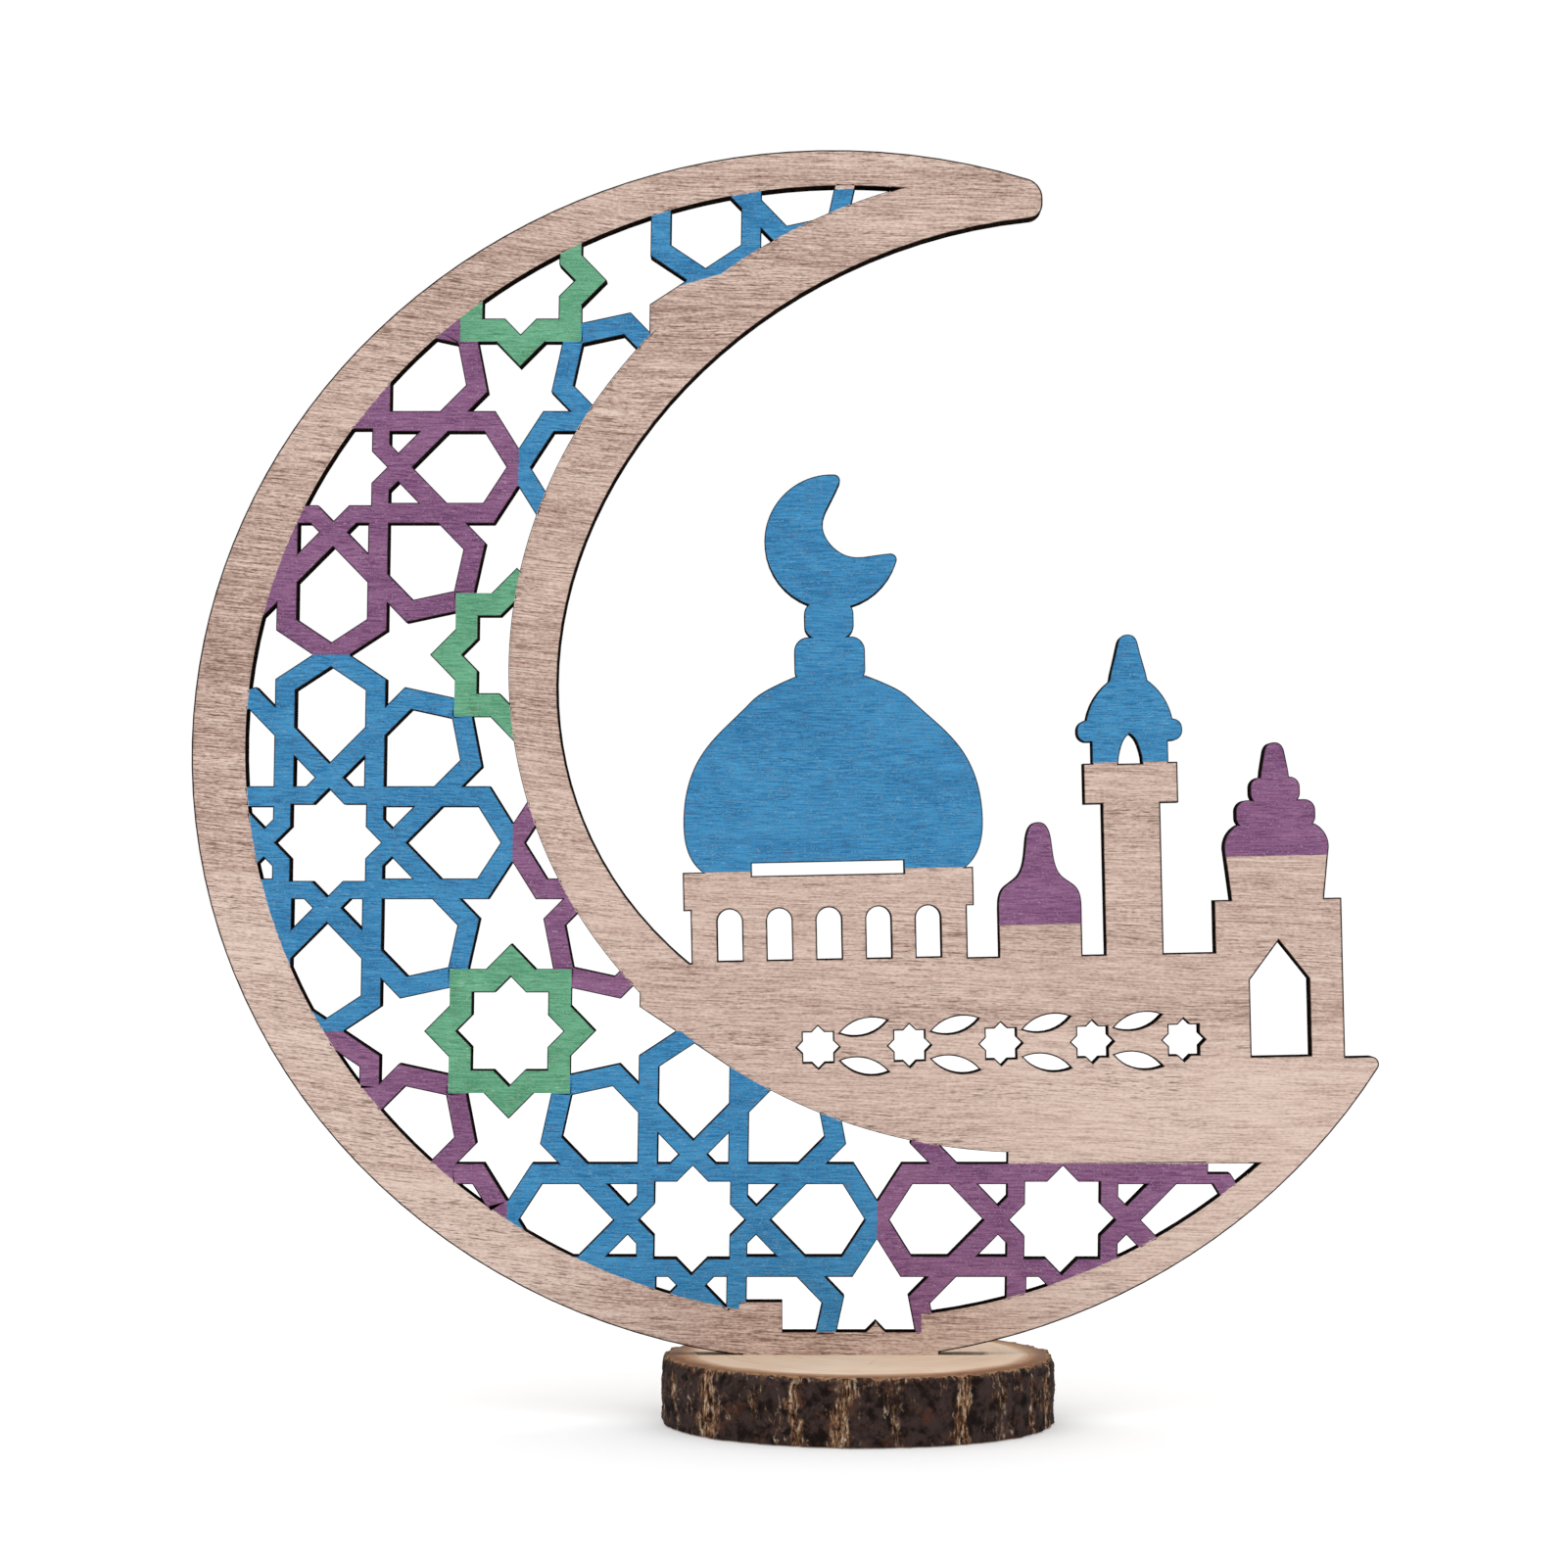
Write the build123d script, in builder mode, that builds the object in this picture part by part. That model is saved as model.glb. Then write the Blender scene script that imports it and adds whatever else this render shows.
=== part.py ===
from build123d import *
from math import cos, pi, radians, sin, sqrt, tan
import os

# A crescent ornament: a pierced plywood panel with printed colour stands in the saw groove of a
# round branch slice. Millimetres, X to the right, Y away from the viewer, +Z up.
# The origin is the centre of the slice's underside.

# Branch slice
slice_height = 8.5
wood_radius = 21.4
inner_bark_width = 2.2
outer_bark_width = 1.0
slice_wobble = 0.3
bark_ridge = 0.3
bark_ridges = 23
ridge_drift = 0.35

# Saw groove across the slice, and the tab that stands in it
groove_x = -2.2
groove_length = 37.5
groove_depth = 5.0
groove_side_gap = 0.1
seat_gap = 0.1
tab_width = 25.0

# Plywood sheet and the printed coats on its front
sheet = 3.0
print_coat = 0.08
print_bleed = 0.3

# Crescent: two leaning ellipses. The outer one's foot dips below the slice's top face. Shares
# across and up are of the outer ellipse's half width and half height
outer_x = -3.4
outer_half_width = 81.3
outer_half_height = 77.0
outer_turn = 1.8
foot_sink = 0.8
inner_share_across = 0.309
inner_share_up = 0.1935
inner_share_width = 0.754
inner_share_height = 0.6766
inner_turn = 23.6
horn_share_across = 0.332
horn_nose_round = 2.9
horn_round = 2.1
low_horn_round = 1.0

# Lattice window between the crescent's rim and the band round its inner edge
rim_width = 5.0
window_right = 1.9
window_up = 0.4
band_right = 1.7
band_drop = 2.8
band_side = 6.7
band_foot = 10.5
band_turn = 9.8
ledge_x = 19.5
ledge_drop = 1.55
sill_x = -0.8
sill_width = 17.6
sill_drop = 1.7
step_width = 5.2
step_height = 2.1
least_hole = 1.5

# Eight-fold star lattice
pitch_share_across = 0.5769
pitch_share_up = 0.6208
lattice_share_across = -0.786
lattice_share_up = -0.148
lattice_lean = 0.78
star_half_side = 5.75
star_half_hole = 4.75
half_bar = 1.3
link_half_side = 6.25
link_half_bar = 1.45
cap_angle = 57.0

# Ground line under the skyline, which leans a little. Skyline heights start from it
ground_share_across = 0.2485
ground_depth = 24.6
ground_lean = 1.2

# Arcade with its cornice, and the slot under the dome
arcade_x = -20.4
arcade_width = 35.1
arcade_height = 6.6
cornice_width = 36.9
cornice_height = 4.9
arch_count = 5
arch_width = 3.1
end_pier = 3.4
arch_height = 6.5
arch_sill = 0.2
slot_width = 19.3
slot_height = 1.6
slot_sill = 10.9

# Large dome, its two beads and its finial
dome_shift = 0.8
dome_foot_width = 33.5
dome_width = 38.0
dome_height = 24.6
bead_width = 9.0
bead_height = 6.0
bead_round = 1.8
top_bead_width = 6.3
top_bead_height = 4.8
finial_shift = 0.6
finial_sink = 1.05
finial_radius = 8.6
finial_round = 0.8

# Cupola, minaret and gate tower
cupola_x = 6.4
cupola_width = 10.6
cupola_height = 17.0
minaret_x = 18.3
shaft_width = 7.4
shaft_height = 19.1
balcony_width = 12.0
balcony_height = 5.2
lantern_width = 9.7
lantern_height = 2.7
lantern_window = 3.0
eaves_width = 13.4
eaves_height = 2.8
roof_height = 13.6
tower_share_across = 0.4502
tower_width = 16.2
tower_height = 6.6
belly_width = 13.2
belly_height = 9.5
tier_width = 10.1
tier_height = 3.1
top_tier_width = 6.3
top_tier_height = 2.9
tier_round = 1.4
spire_width = 3.7
spire_height = 4.4
door_width = 7.5
door_height = 9.7
gable_height = 4.9
door_step = 0.3
low_ground = 13.6

# Where the printed colour begins: above the ground, the balcony and the tower's walls
cupola_print = 4.0
minaret_print = 0.1
tower_print = 5.5

# Pierced frieze of stars and leaves below the ground line
frieze_x = 1.1
frieze_depth = 11.0
frieze_stars = 5
frieze_length = 46.4
frieze_star = 1.9
leaf_length = 6.2
leaf_width = 2.0
leaf_rise = 2.5
leaf_lean = 14.0

saw_radius = (groove_length**2 / 4 + groove_depth**2) / (2 * groove_depth)
saw_axis_height = slice_height + saw_radius - groove_depth
far = 2 * outer_half_width
overlap = 1.0

# Crescent and lattice, worked out from the outer ellipse. Rises start at the slice's top face
outer_rise = outer_half_height - foot_sink
inner_x = outer_x + inner_share_across * outer_half_width
inner_rise = outer_rise + inner_share_up * outer_half_height
inner_half_width = inner_share_width * outer_half_width
inner_half_height = inner_share_height * outer_half_height
horn_end_x = outer_x + horn_share_across * outer_half_width
window_rise = outer_rise + window_up
window_half_height = outer_half_height - rim_width
band_rise = inner_rise - band_drop
band_half_height = inner_half_height + band_foot
lattice_x = outer_x + lattice_share_across * outer_half_width
lattice_rise = outer_rise + lattice_share_up * outer_half_height
pitch_across = pitch_share_across * outer_half_width
pitch_up = pitch_share_up * outer_half_height

# Skyline axes, and heights above the ground line, which lies above the lattice window
ground_x = outer_x + ground_share_across * outer_half_width
ground_rise = band_rise - band_half_height + ground_depth
dome_x = arcade_x + dome_shift
finial_x = dome_x + finial_shift
dome_foot = arcade_height + cornice_height
bead_top = dome_height + bead_height - overlap
top_bead_top = bead_top - overlap / 4 + top_bead_height
finial_height = dome_foot + top_bead_top + finial_radius - finial_sink
balcony_top = shaft_height + balcony_height
tower_x = tower_share_across * outer_half_width
door_sill = door_step - low_ground

# The panel is drawn on the upright plane through the sheet's middle
upright = Plane.XZ
skyline = Plane(
    origin=(ground_x, 0, slice_height + ground_rise),
    x_dir=(cos(radians(ground_lean)), 0, sin(radians(ground_lean))),
    z_dir=upright.z_dir,
)


def on_skyline(x, height):
    return Plane(skyline.from_local_coords((x, height, 0)), x_dir=skyline.x_dir, z_dir=skyline.z_dir)


def above_slice(x, rise):
    return Locations((x, slice_height + rise))


# Lattice: a star, eight kites and eight petals in each cell, a linking star at each cell's corner
half_pitch = pitch_across / 2
near = star_half_side - half_bar
out = star_half_side + half_bar
link_out = link_half_side + link_half_bar
cap_slope = tan(radians(cap_angle))
cap_notch = half_bar / cos(radians(cap_angle))
cap_bend = half_pitch - (out - cap_notch) / cap_slope
petal_end = half_pitch - cap_notch / cap_slope


def turned(points, angle):
    c = cos(radians(angle))
    s = sin(radians(angle))
    return [(x * c - y * s, x * s + y * c) for x, y in points]


def in_cell(points, column, row):
    lean = tan(radians(lattice_lean))
    left = lattice_x + column * pitch_across
    rises = [(row + y / pitch_across) * pitch_up for x, y in points]
    return [
        (left + x + rise * lean, slice_height + lattice_rise + rise)
        for (x, y), rise in zip(points, rises)
    ]


# Two squares laid across each other
def star(half_side):
    tip = half_side * sqrt(2)
    dent = half_side / cos(pi / 8)
    corner = [(tip, 0), (dent * cos(pi / 8), dent * sin(pi / 8))]
    return [point for eighth in range(8) for point in turned(corner, 45 * eighth)]


def kite():
    return [
        (out, out * (sqrt(2) - 1)),
        (sqrt(2) * star_half_side, sqrt(2) * half_bar),
        (near * (1 + sqrt(2)), near),
        (out, near),
    ]


def petal():
    root = out * sqrt(2)
    bend = petal_end - near / cap_slope
    upper = [(petal_end, 0), (bend, near), (root + near, near), (root, 0)]
    return upper + [(x, -y) for x, y in upper[2:0:-1]]


# Where the cap of the diagonal petal runs into the side of the linking star
def cap_foot():
    bend, tip = turned([(cap_bend, out), (half_pitch + cap_notch / cap_slope, 0)], -45)
    share = (link_out - half_pitch - bend[1]) / (tip[1] - bend[1])
    return (bend[0] + share * (tip[0] - bend[0]), link_out - half_pitch)


# The space between two neighbouring cells and the linking star below them
def gap():
    left = [
        (half_pitch, -cap_notch),
        (cap_bend, -out),
        (out * (1 + sqrt(2)), -out),
        turned([(cap_bend, out)], -45)[0],
        cap_foot(),
        (half_pitch - link_out * tan(pi / 8), link_out - half_pitch),
        (half_pitch, link_out * sqrt(2) - half_pitch),
    ]
    right = [(pitch_across - x, y) for x, y in left[-2:0:-1]]
    return [(x - half_pitch, y + half_pitch) for x, y in left + right]


# The uppermost gap on the left runs open to the rim, and the right tip's hole up to the ledge
opened = [
    ([(7.0, 4.9), (13.9, 3.6), (16.4, 6.3), (16.4, 9.5), (7.0, 9.5)], (0.5, 1.5)),
    ([(18.4, 5.8), (21.6, 5.8), (21.6, 8.5), (18.4, 8.5)], (2, -1)),
]

rosettes = {
    "blue_rosette_left": (0, 0),
    "purple_rosette_upper": (0, 1),
    "blue_rosette_upper": (1, 1),
    "blue_rosette_top": (1, 2),
    "purple_rosette_inner": (1, 0),
    "purple_rosette_lower": (0, -1),
    "blue_rosette_bottom": (1, -1),
    "purple_rosette_right": (2, -1),
}
links = {
    "green_star_lower": (0.5, -0.5),
    "green_star_middle": (0.5, 0.5),
    "green_star_upper": (0.5, 1.5),
}
corners = [(column - 0.5, row - 0.5) for column in range(4) for row in range(-1, 4)]


# The window's outline, grown by a margin on all sides
def draw_window(margin):
    half_width = outer_half_width - rim_width + margin
    band_half_width = inner_half_width + band_side - margin
    with above_slice(outer_x + window_right, window_rise):
        Ellipse(half_width, window_half_height + margin)
    with above_slice(inner_x + band_right, band_rise):
        Ellipse(band_half_width, band_half_height - margin, rotation=band_turn, mode=Mode.SUBTRACT)
    with above_slice(ledge_x, band_rise - band_half_height - ledge_drop + margin):
        Rectangle(far, far, align=Align.MIN, mode=Mode.SUBTRACT)
    window_foot = window_rise - window_half_height
    with above_slice(sill_x - sill_width / 2 - step_width - margin, window_foot + step_height - margin):
        Rectangle(step_width, half_pitch / 2, align=(Align.MIN, Align.MAX), mode=Mode.SUBTRACT)
    with above_slice(sill_x, window_foot - sill_drop - margin):
        Rectangle(sill_width + 2 * margin, half_pitch / 2, align=(Align.CENTER, Align.MIN))


with BuildSketch(upright) as window:
    draw_window(0)

with BuildSketch(upright) as print_window:
    draw_window(print_bleed)

with BuildSketch(upright) as lattice:
    shapes = [(star(star_half_hole), cell) for cell in rosettes.values()]
    shapes += [(star(link_half_side - link_half_bar), cell) for cell in corners]
    for eighth in range(8):
        shapes += [(turned(kite(), 45 * eighth), cell) for cell in rosettes.values()]
        shapes += [(turned(petal(), 45 * eighth), cell) for cell in rosettes.values()]
    for quarter in range(4):
        shapes += [(turned(gap(), 90 * quarter), cell) for cell in corners]
    shapes += opened
    add([Polygon(*in_cell(points, *cell), mode=Mode.PRIVATE) for points, cell in shapes])
    add(window.sketch, mode=Mode.INTERSECT)
piercings = [face for face in lattice.faces() if face.area > least_hole]

# Skyline, each building drawn about its own upright axis
with BuildSketch(on_skyline(arcade_x, 0)) as arcade:
    with Locations((0, -overlap)):
        Rectangle(arcade_width, arcade_height + 2 * overlap, align=(Align.CENTER, Align.MIN))
    with Locations((0, arcade_height)):
        Rectangle(cornice_width, cornice_height, align=(Align.CENTER, Align.MIN))
    spring = arch_sill + arch_height - arch_width / 2
    arch_pitch = (arcade_width - 2 * end_pier - arch_width) / (arch_count - 1)
    with Locations((0, (arch_sill + spring) / 2)):
        with GridLocations(arch_pitch, 1, arch_count, 1):
            Rectangle(arch_width, spring - arch_sill, mode=Mode.SUBTRACT)
    with Locations((0, spring)):
        with GridLocations(arch_pitch, 1, arch_count, 1):
            Circle(arch_width / 2, mode=Mode.SUBTRACT)

with BuildSketch(on_skyline(dome_x, dome_foot)) as dome:
    with BuildLine():
        foot = (dome_foot_width / 2, 0)
        neck = (bead_width / 2, dome_height)
        flank = Spline(
            foot,
            (0.50 * dome_width, 0.28 * dome_height),
            (0.42 * dome_width, 0.64 * dome_height),
            (0.29 * dome_width, 0.84 * dome_height),
            neck,
            tangents=((1, 0.8), (-1, 0.4)),
        )
        mirror(flank, about=Plane.YZ)
        Line((-foot[0], 0), foot)
        Line((-neck[0], dome_height), neck)
    make_face()
    with Locations((0, bead_top)):
        RectangleRounded(
            bead_width,
            bead_height,
            min(bead_round, 0.45 * bead_height, 0.45 * bead_width),
            align=(Align.CENTER, Align.MAX),
        )
    with Locations((0, top_bead_top)):
        RectangleRounded(
            top_bead_width,
            top_bead_height,
            0.35 * top_bead_height,
            align=(Align.CENTER, Align.MAX),
        )

with BuildSketch(on_skyline(finial_x, finial_height)) as finial:
    with BuildLine():
        back = CenterArc((0, 0), finial_radius, 80, 269)
        hollow = [(0.66, -0.21), (0.22, -0.21), (-0.13, 0.21), (0.03, 0.66)]
        Spline(back @ 1, *[finial_radius * Vector(x, y) for x, y in hollow], back @ 0)
    make_face()
    fillet(finial.vertices(), finial_round)

with BuildSketch(on_skyline(cupola_x, 0)) as cupola:
    half = cupola_width / 2
    with BuildLine():
        wall = Line((half, -overlap), (half, 0.36 * cupola_height))
        crown = Spline(
            wall @ 1,
            (0.88 * half, 0.51 * cupola_height),
            (0.50 * half, 0.61 * cupola_height),
            (0.36 * half, 0.73 * cupola_height),
            (0.31 * half, 0.86 * cupola_height),
            tangents=((0, 1), (-0.12, 1)),
        )
        tip = Bezier(
            crown @ 1,
            (0.27 * half, 0.97 * cupola_height),
            (0.15 * half, cupola_height),
            (0, cupola_height),
        )
        mirror([wall, crown, tip], about=Plane.YZ)
        Line((-half, -overlap), (half, -overlap))
    make_face()

with BuildSketch(on_skyline(minaret_x, 0)) as minaret:
    eaves = balcony_top + lantern_height
    with Locations((0, -overlap)):
        Rectangle(shaft_width, shaft_height + 2 * overlap, align=(Align.CENTER, Align.MIN))
    with Locations((0, shaft_height)):
        Rectangle(balcony_width, balcony_height, align=(Align.CENTER, Align.MIN))
    with Locations((0, balcony_top - overlap)):
        Rectangle(lantern_width, lantern_height + 2 * overlap, align=(Align.CENTER, Align.MIN))
    with Locations((0, eaves + eaves_height / 2)):
        RectangleRounded(eaves_width, eaves_height, 0.45 * eaves_height)
    with BuildLine():
        half = 0.41 * eaves_width
        side = Line((half, eaves + overlap), (half, eaves + eaves_height))
        drum = ThreePointArc(
            side @ 1,
            (0.77 * half, eaves + 0.43 * roof_height),
            (0.44 * half, eaves + 0.57 * roof_height),
        )
        spire = Spline(
            drum @ 1,
            (0.26 * half, eaves + 0.87 * roof_height),
            (0, eaves + roof_height),
            tangents=((-0.15, 1), (-1, 0)),
        )
        mirror([side, drum, spire], about=Plane.YZ)
        Line((-half, eaves + overlap), (half, eaves + overlap))
    make_face()
    with BuildLine():
        half = lantern_window / 2
        sill = balcony_top - 0.1
        jamb = Spline(
            (half, sill),
            (0.8 * half, sill + 0.6 * lantern_window),
            (0, sill + 1.25 * lantern_window),
            tangents=((0, 1), (-1, 0.6)),
        )
        mirror(jamb, about=Plane.YZ)
        Line((-half, sill), (half, sill))
    make_face(mode=Mode.SUBTRACT)

with BuildSketch(on_skyline(tower_x, 0)) as tower:
    belly_top = tower_height + belly_height
    tier_top = belly_top + tier_height
    top_tier_top = tier_top + top_tier_height
    with Locations((0, -low_ground - overlap)):
        Rectangle(tower_width, low_ground + tower_height + overlap, align=(Align.CENTER, Align.MIN))
    with BuildLine():
        half = belly_width / 2
        flare = Line((0.88 * half, tower_height - overlap), (half, tower_height + 0.63 * belly_height))
        shoulder = ThreePointArc(
            flare @ 1,
            (0.93 * half, tower_height + 0.88 * belly_height),
            (0.74 * half, belly_top),
        )
        mirror([flare, shoulder], about=Plane.YZ)
        Line((-0.88 * half, tower_height - overlap), (0.88 * half, tower_height - overlap))
        Line((-0.74 * half, belly_top), (0.74 * half, belly_top))
    make_face()
    tiers = [(tier_width, tier_height, tier_top), (top_tier_width, top_tier_height, top_tier_top)]
    for width, height, top in tiers:
        with Locations((0, top)):
            RectangleRounded(
                width,
                height + overlap / 2,
                min(tier_round, 0.45 * height),
                align=(Align.CENTER, Align.MAX),
            )
    with BuildLine():
        half = spire_width / 2
        flank = Spline(
            (half, top_tier_top - overlap),
            (0.75 * half, top_tier_top + 0.6 * spire_height),
            (0, top_tier_top + spire_height),
            tangents=((0, 1), (-1, 0)),
        )
        mirror(flank, about=Plane.YZ)
        Line((-half, top_tier_top - overlap), (half, top_tier_top - overlap))
    make_face()

# Frieze of stars with a pair of leaves on each side
with BuildSketch(upright) as leaf:
    with BuildLine():
        ThreePointArc((-leaf_length / 2, 0), (0, leaf_width / 2), (leaf_length / 2, 0))
        ThreePointArc((-leaf_length / 2, 0), (0, -leaf_width / 2), (leaf_length / 2, 0))
    make_face()

with BuildSketch(on_skyline(frieze_x, -frieze_depth)) as frieze:
    frieze_pitch = frieze_length / (frieze_stars - 1)
    with GridLocations(frieze_pitch, 1, frieze_stars, 1):
        Polygon(*star(frieze_star))
    for side in (-1, 1):
        with Locations((0, side * leaf_rise)):
            with GridLocations(frieze_pitch, 1, frieze_stars - 1, 1):
                add(leaf.sketch_local, rotation=side * leaf_lean)

# Openings that cross from one building into the next
with BuildSketch(skyline) as openings:
    with Locations((arcade_x, slot_sill)):
        Rectangle(slot_width, slot_height, align=(Align.CENTER, Align.MIN))
    with Locations((tower_x, door_sill)):
        Polygon(
            (-door_width / 2, 0),
            (door_width / 2, 0),
            (door_width / 2, door_height),
            (0, door_height + gable_height),
            (-door_width / 2, door_height),
        )

with BuildSketch(skyline) as sky:
    Rectangle(2 * far, far, align=(Align.CENTER, Align.MIN))
    with Locations((tower_x + tower_width / 2, -low_ground)):
        Rectangle(far, far, align=Align.MIN)

with BuildSketch(upright) as tab:
    with Locations((groove_x, slice_height)):
        Rectangle(tab_width, 2 * groove_depth)
    with Locations((groove_x, saw_axis_height)):
        Circle(saw_radius - seat_gap, mode=Mode.INTERSECT)

with BuildSketch(upright) as land:
    with above_slice(outer_x, outer_rise):
        Ellipse(outer_half_width, outer_half_height, rotation=outer_turn)
    add(sky.sketch, mode=Mode.SUBTRACT)
    fillet(land.vertices().sort_by(Axis.X)[-1], low_horn_round)

with BuildSketch(upright) as silhouette:
    with above_slice(outer_x, outer_rise):
        Ellipse(outer_half_width, outer_half_height, rotation=outer_turn)
    with above_slice(inner_x, inner_rise):
        Ellipse(inner_half_width, inner_half_height, rotation=inner_turn, mode=Mode.SUBTRACT)
    with Locations((horn_end_x, 0)):
        Rectangle(far, 2 * far, align=(Align.MIN, Align.CENTER), mode=Mode.SUBTRACT)
    horn_low, horn_top = silhouette.vertices().sort_by(Axis.Y)[-2:]
    horn_end = horn_top.Y - horn_low.Y
    fillet(horn_low, min(horn_round, 0.43 * horn_end))
    fillet(silhouette.vertices().sort_by(Axis.Y)[-1], min(horn_nose_round, 0.6 * horn_end))
    add(land.sketch)
    with Locations((0, slice_height)):
        Rectangle(2 * far, far, align=(Align.CENTER, Align.MAX), mode=Mode.SUBTRACT)
    add([tab.sketch, arcade.sketch, dome.sketch, finial.sketch])
    add([cupola.sketch, minaret.sketch, tower.sketch])

with BuildSketch(upright) as panel:
    add(silhouette.sketch)
    add(piercings + [openings.sketch, frieze.sketch], mode=Mode.SUBTRACT)


# Panel: the whole outline with its piercings, cut from one sheet
front = sheet / 2
with BuildPart() as pierced_panel:
    with BuildSketch(upright.offset(-front)):
        add(panel.sketch)
    extrude(amount=sheet)
pieces = {"pierced_panel": pierced_panel}

# Printed coats on the buildings: the whole dome, and each other roof from its colour line up
with BuildPart() as blue_dome:
    with BuildSketch(upright.offset(front)):
        add([dome.sketch, finial.sketch])
        add(openings.sketch, mode=Mode.SUBTRACT)
    extrude(amount=print_coat)
pieces["blue_dome"] = blue_dome

roofs = {
    "purple_cupola": (cupola_print, cupola.sketch),
    "blue_minaret_roof": (balcony_top + minaret_print, minaret.sketch),
    "purple_tower_roof": (tower_height + tower_print, tower.sketch),
}
for name, (colour_line, outline) in roofs.items():
    with BuildSketch(on_skyline(0, colour_line)) as printed:
        Rectangle(far, far, align=(Align.CENTER, Align.MIN))
    with BuildPart() as coat:
        with BuildSketch(upright.offset(front)):
            add(outline)
            add(printed.sketch, mode=Mode.INTERSECT)
        extrude(amount=print_coat)
    pieces[name] = coat

# Printed coats on the lattice: one for each rosette's cell and one for each linking star
cell_corner = [(half_pitch, half_pitch)]
cell_square = [point for quarter in range(4) for point in turned(cell_corner, 90 * quarter)]
areas = {name: (cell_square, cell) for name, cell in rosettes.items()}
areas.update({name: (star(link_out), cell) for name, cell in links.items()})
for name, (outline, cell) in areas.items():
    with BuildSketch(upright) as area:
        Polygon(*in_cell(outline, *cell))
        add(print_window.sketch, mode=Mode.INTERSECT)
        add(piercings, mode=Mode.SUBTRACT)
        if name in rosettes:
            for link in links.values():
                Polygon(*in_cell(star(link_out), *link), mode=Mode.SUBTRACT)
    with BuildPart() as coat:
        with BuildSketch(upright.offset(front)):
            add([face for face in area.faces() if face.area > least_hole])
        extrude(amount=print_coat)
    pieces[name] = coat


# Branch slice: wood, inner bark and ridged outer bark, around one slightly uneven outline.
# Each ridge is an arc from one fissure over its crest to the next
def draw_branch(radius, ridge):
    points = []
    for step in range(2 * bark_ridges):
        turn = pi * step / bark_ridges
        angle = turn + ridge_drift * pi / bark_ridges * sin(5 * turn)
        sway = cos(2 * angle + 0.7) + 0.6 * cos(3 * angle + 2.0)
        reach = radius + slice_wobble * sway - ridge * cos(pi * step)
        points.append((reach * cos(angle), reach * sin(angle)))
    fissures = points[0::2]
    for fissure, crest, after in zip(fissures, points[1::2], fissures[1:] + fissures[:1]):
        ThreePointArc(fissure, crest, after)


inner_bark_radius = wood_radius + inner_bark_width
outer_bark_radius = inner_bark_radius + outer_bark_width
with BuildPart() as wood_slice:
    with BuildSketch():
        with BuildLine():
            draw_branch(wood_radius, 0)
        make_face()
    extrude(amount=slice_height)
    with Locations((groove_x, 0, saw_axis_height)):
        Cylinder(saw_radius, sheet + 2 * groove_side_gap, rotation=(90, 0, 0), mode=Mode.SUBTRACT)
pieces["wood_slice"] = wood_slice

with BuildPart() as inner_bark:
    with BuildSketch():
        with BuildLine():
            draw_branch(inner_bark_radius, 0)
        make_face()
        with BuildLine():
            draw_branch(wood_radius, 0)
        make_face(mode=Mode.SUBTRACT)
    extrude(amount=slice_height)
pieces["inner_bark"] = inner_bark

with BuildPart() as outer_bark:
    with BuildSketch():
        with BuildLine():
            draw_branch(outer_bark_radius, bark_ridge)
        make_face()
        with BuildLine():
            draw_branch(inner_bark_radius, 0)
        make_face(mode=Mode.SUBTRACT)
    extrude(amount=slice_height)
pieces["outer_bark"] = outer_bark

os.makedirs("parts", exist_ok=True)
for name, piece in pieces.items():
    piece.part.label = name
    export_step(piece.part, f"parts/{name}.step")
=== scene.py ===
import bpy
import math
import numpy as np
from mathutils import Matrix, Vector, noise


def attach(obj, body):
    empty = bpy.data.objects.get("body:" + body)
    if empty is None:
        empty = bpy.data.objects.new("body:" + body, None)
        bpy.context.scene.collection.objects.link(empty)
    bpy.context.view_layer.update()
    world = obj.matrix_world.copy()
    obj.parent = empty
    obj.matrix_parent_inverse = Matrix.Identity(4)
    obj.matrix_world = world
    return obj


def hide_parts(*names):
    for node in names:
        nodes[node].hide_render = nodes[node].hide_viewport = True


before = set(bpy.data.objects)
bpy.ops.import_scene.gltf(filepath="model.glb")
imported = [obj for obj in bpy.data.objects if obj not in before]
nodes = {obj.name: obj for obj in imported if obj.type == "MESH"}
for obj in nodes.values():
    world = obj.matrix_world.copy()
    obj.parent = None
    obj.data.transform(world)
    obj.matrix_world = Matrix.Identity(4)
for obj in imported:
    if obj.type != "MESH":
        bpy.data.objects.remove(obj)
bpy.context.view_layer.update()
mm = 0.001
sameSpot = 0.000001  # metres: corners nearer than this are welded
sameDepth = 0.00001  # metres: a corner this near a face lies on it
leastRun = 1e-18  # square metres: keeps a line of no length from dividing by nought
print("frame loaded with", len(nodes), "nodes")


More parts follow.
